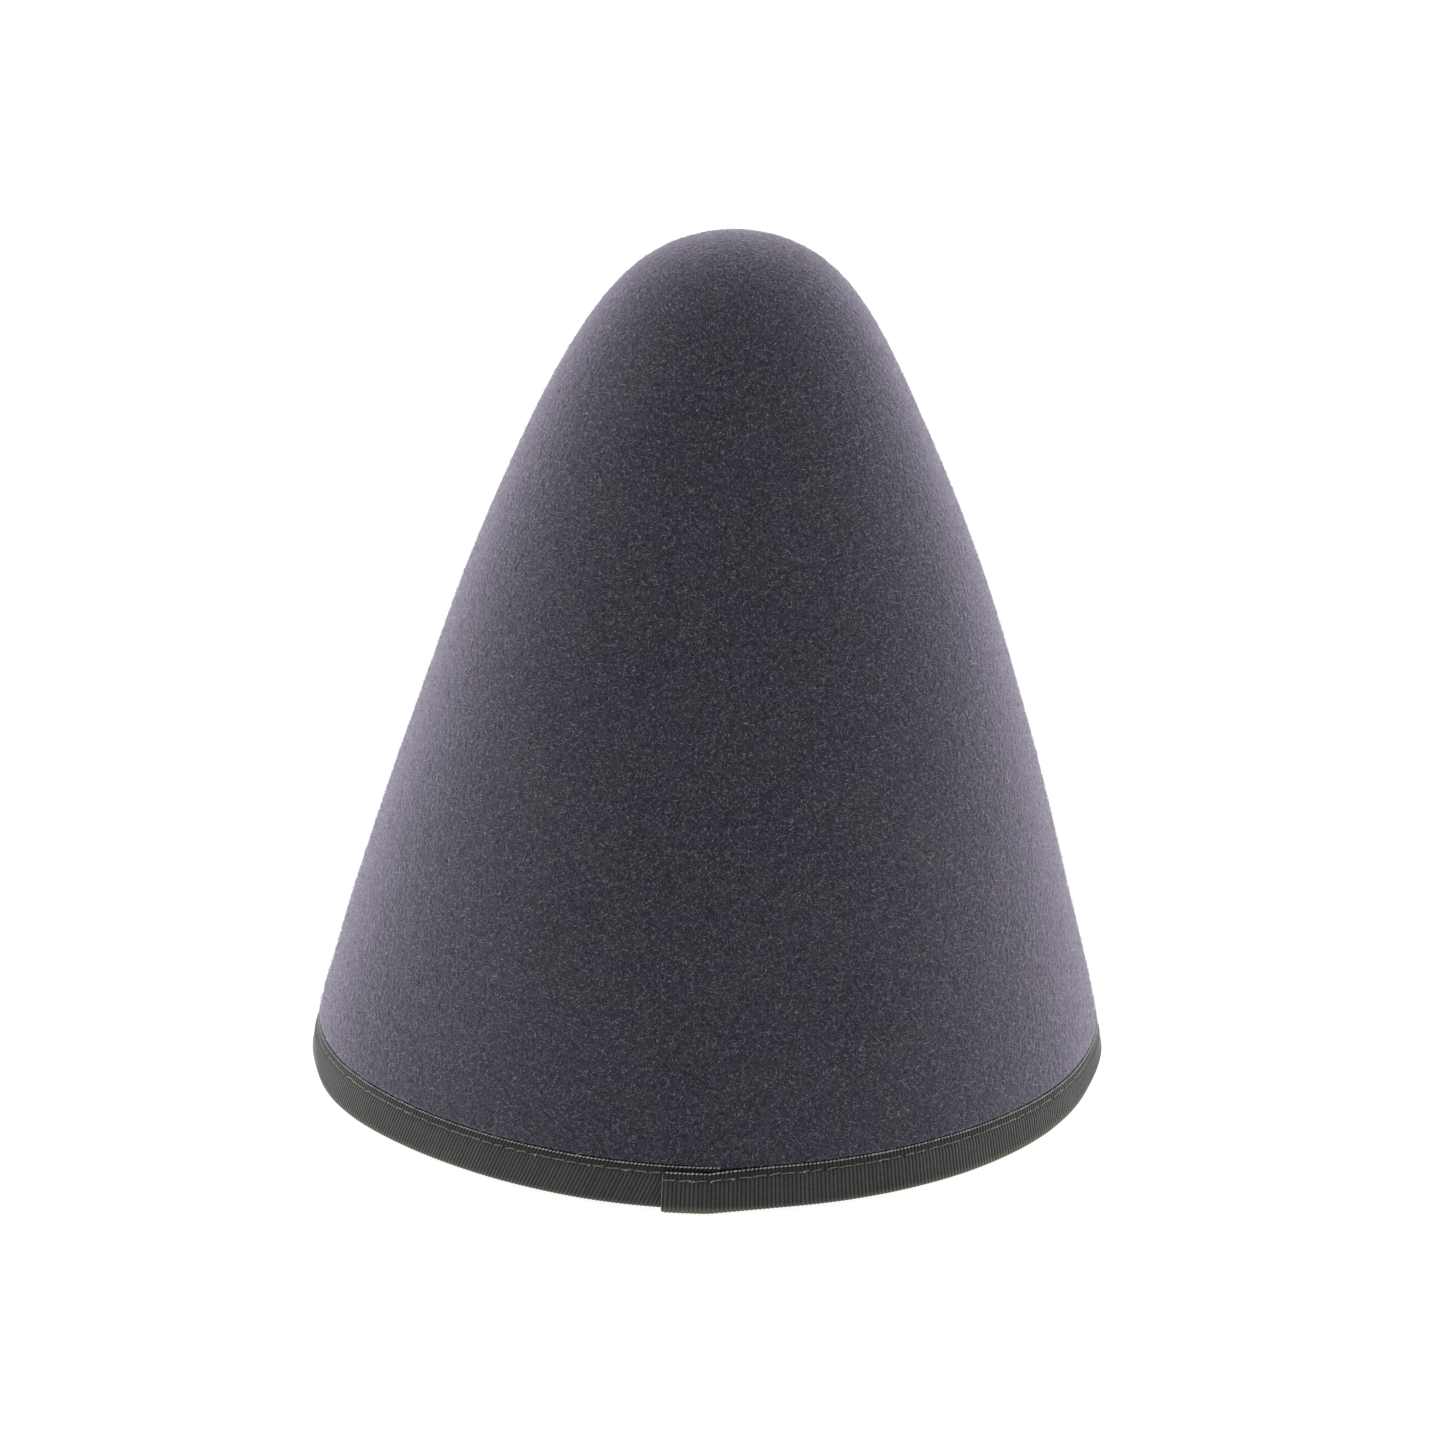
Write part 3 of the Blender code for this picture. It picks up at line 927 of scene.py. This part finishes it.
def makeThreadTree():
    # a bent piece of thread on each point of a line, bowed outwards and upwards
    tree, size = newTree("threads", {
        "Length": 1.0, "Thread Radius": 1.0, "Bow Out": 0.0, "Bow Up": 0.0, "Dip": 0.0, "Slant": 0.0,
        "Jitter": 0.0, "Side": 1.0, "Thread Faces": 6, "Seed": threadSeed, "Material": threadMaterial,
    })
    half = size["Length"] * 0.5
    ends = [addNode(tree, "ShaderNodeCombineXYZ", {}, [half * way, 0.0, size["Dip"] * -1])
            for way in (-1.0, 1.0)]
    bow = addNode(tree, "ShaderNodeCombineXYZ", {}, [0.0, size["Bow Up"] * 2, size["Bow Out"] * 2])
    arc = addNode(tree, "GeometryNodeCurveQuadraticBezier", {}, {
        "Resolution": threadArcSteps, "Start": ends[0], "Middle": bow, "End": ends[1]})
    ring = addNode(tree, "GeometryNodeCurvePrimitiveCircle", {}, {
        "Resolution": size["Thread Faces"], "Radius": size["Thread Radius"]})
    thread = addNode(tree, "GeometryNodeCurveToMesh", {}, {
        "Curve": arc, "Profile Curve": ring, "Fill Caps": True})
    line = addNode(tree, "GeometryNodeMeshToCurve", {}, [size["Mesh"]])
    out = vectorCalc("MULTIPLY", addNode(tree, "GeometryNodeInputPosition"), (1.0, 1.0, 0.0))
    out = vectorCalc("SCALE", out, None, None, size["Side"])
    tangent = vectorCalc("SCALE", addNode(tree, "GeometryNodeInputTangent"), None, None, size["Side"])
    facing = addNode(tree, "FunctionNodeAxesToRotation", {"primary_axis": "Z", "secondary_axis": "X"},
                     [out, tangent])
    low = addNode(tree, "ShaderNodeCombineXYZ", {}, [0.0, 0.0, size["Slant"] - size["Jitter"]])
    high = addNode(tree, "ShaderNodeCombineXYZ", {}, [0.0, 0.0, size["Slant"] + size["Jitter"]])
    turn = addNode(tree, "FunctionNodeRandomValue", {"data_type": "FLOAT_VECTOR"},
                   {0: low, 1: high, "Seed": size["Seed"]})
    turn = addNode(tree, "FunctionNodeEulerToRotation", {}, [turn])
    facing = addNode(tree, "FunctionNodeRotateRotation", {"rotation_space": "LOCAL"}, [facing, turn])
    scale = addNode(tree, "FunctionNodeRandomValue", {"data_type": "FLOAT"},
                    {2: threadScales[0], 3: threadScales[1], "Seed": size["Seed"] + 5}, 1)
    mesh = addNode(tree, "GeometryNodeInstanceOnPoints", {}, {
        "Points": line, "Instance": thread, "Rotation": facing, "Scale": scale})
    mesh = addNode(tree, "GeometryNodeRealizeInstances", {}, [mesh])
    mesh = addNode(tree, "GeometryNodeSetShadeSmooth", {}, [mesh])
    endWithMaterial(tree, shapedByHand(tree, mesh), size["Material"])
    return tree


def makeThreads():
    tree = makeThreadTree()
    perRib = len(ribbon["ribPhases"])
    last = len(sections[0]) - 1
    first, end = stitch["shown"]
    shown = [k for k, station in enumerate(stations) if first < station[3] < end]
    apart = round(stitch["pitch"] / ribbon["ribPitch"] * perRib)
    stitchColumns = sorted(shown[::apart] + shown[1::apart])
    loopColumns = [k for k in range(perRib // 2, len(stations), perRib) if stations[k][3] > 0]
    lintColumns = [min(shown, key=lambda k: abs(stations[k][3] - past)) for past in lint["pasts"]]
    pieces = []
    for side, outermost, stitchRow, leaf in (
            (1.0, 0, stitch["row"], "outside"), (-1.0, last, last - 1, "inside")):
        for name, columns, row, thread, material in (
                ("stitches", stitchColumns, stitchRow, stitch, threadMaterial),
                ("selvedge", loopColumns, outermost, selvedge, loopMaterial),
                ("lint", lintColumns, stitchRow, lint, lintMaterial)):
            piece = linePiece(f"{name}_{leaf}", row, columns, thread["proud"])
            useTree(piece, tree, {
                "Length": thread["length"], "Thread Radius": thread["radius"],
                "Bow Out": thread["bowOut"], "Bow Up": thread["bowUp"], "Dip": thread["dip"],
                "Slant": math.radians(thread["slant"]), "Jitter": math.radians(thread["jitter"]),
                "Side": side, "Thread Faces": thread["faces"], "Seed": threadSeed, "Material": material})
            pieces.append(placed(toPlainMesh(piece)))
    return pieces


threadPieces = makeThreads()
print("stitches and selvedges made")


# Studio

studio = {
    "floorSize": 9.0,
    "floorDrop": 0.00002,
    "floorColour": (0.30, 0.30, 0.30, 1.0),
    "floorRoughness": 0.9,
    "floorGlow": 0.93,
    "worldBack": 0.92,
    "worldFront": 0.255,
    "worldTurn": (-0.6, 0.3),  # from the front's strength to the back's, over the direction's Y
    "aim": (0.0, 0.0, 0.1),
    "lights": (
        {"name": "overhead", "place": (0.0, 0.3, 1.6), "size": 1.6, "power": 10.0},
        {"name": "left", "place": (-1.5, 0.7, 0.6), "size": 1.2, "power": 10.0},
        {"name": "right", "place": (1.5, 0.7, 0.6), "size": 1.2, "power": 10.0},
    ),
}
camera = {
    "aimHeight": 0.0918,
    "elevation": 18.535,
    "distance": 1.53,
    "lens": 163.3,
    "sensor": 36.0,
    "shift": (0.0085, -0.0210),
}


def makeStudio():
    half = studio["floorSize"] / 2
    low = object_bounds()[0].z - studio["floorDrop"]
    mesh = bpy.data.meshes.new("floor")
    mesh.from_pydata([(-half, -half, low), (half, -half, low), (half, half, low), (-half, half, low)], [],
                     [(0, 1, 2, 3)])
    floor = newPiece("floor", mesh)
    floor.data.materials.append(newMaterial("floor", {
        "Base Color": studio["floorColour"], "Roughness": studio["floorRoughness"],
        "Emission Color": (1.0, 1.0, 1.0, 1.0), "Emission Strength": studio["floorGlow"]})[0])
    world = bpy.data.worlds.new("studio")
    bpy.context.scene.world = world
    world.use_nodes = True
    tree = world.node_tree
    parts = addNode(tree, "ShaderNodeSeparateXYZ", {}, [addNode(tree, "ShaderNodeTexCoord")])
    share = smoothRise(parts.other("Y"), *studio["worldTurn"])
    strength = share * (studio["worldBack"] - studio["worldFront"]) + studio["worldFront"]
    tree.links.new(strength.socket, tree.nodes["Background"].inputs["Strength"])
    tree.nodes["Background"].inputs["Color"].default_value = (1.0, 1.0, 1.0, 1.0)
    for row in studio["lights"]:
        light = bpy.data.lights.new(row["name"], "AREA")
        light.energy = row["power"]
        light.size = row["size"]
        lamp = newPiece(row["name"], light)
        lamp.location = row["place"]
        aim = Vector(studio["aim"]) - lamp.location
        lamp.rotation_euler = aim.to_track_quat("-Z", "Y").to_euler()


def makeCamera():
    data = bpy.data.cameras.new("camera")
    data.lens = camera["lens"]
    data.sensor_width = camera["sensor"]
    data.shift_x, data.shift_y = camera["shift"]
    piece = newPiece("camera", data)
    rise = math.radians(camera["elevation"])
    back = Vector((0.0, -math.cos(rise), math.sin(rise))) * camera["distance"]
    piece.location = offset + Vector((0.0, 0.0, camera["aimHeight"])) + back
    piece.rotation_euler = (math.pi / 2 - rise, 0.0, 0.0)
    bpy.context.scene.camera = piece


# What each piece stands for

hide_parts("felt_cone")
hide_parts("rim_binding")
for piece in [feltShell, *napPieces]:
    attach(piece, "root")
for piece in [ribbonPiece, *threadPieces]:
    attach(piece, "root")

makeStudio()
makeCamera()
bpy.context.scene.view_settings.view_transform = "Standard"
print("studio and camera made")
print("scene done")
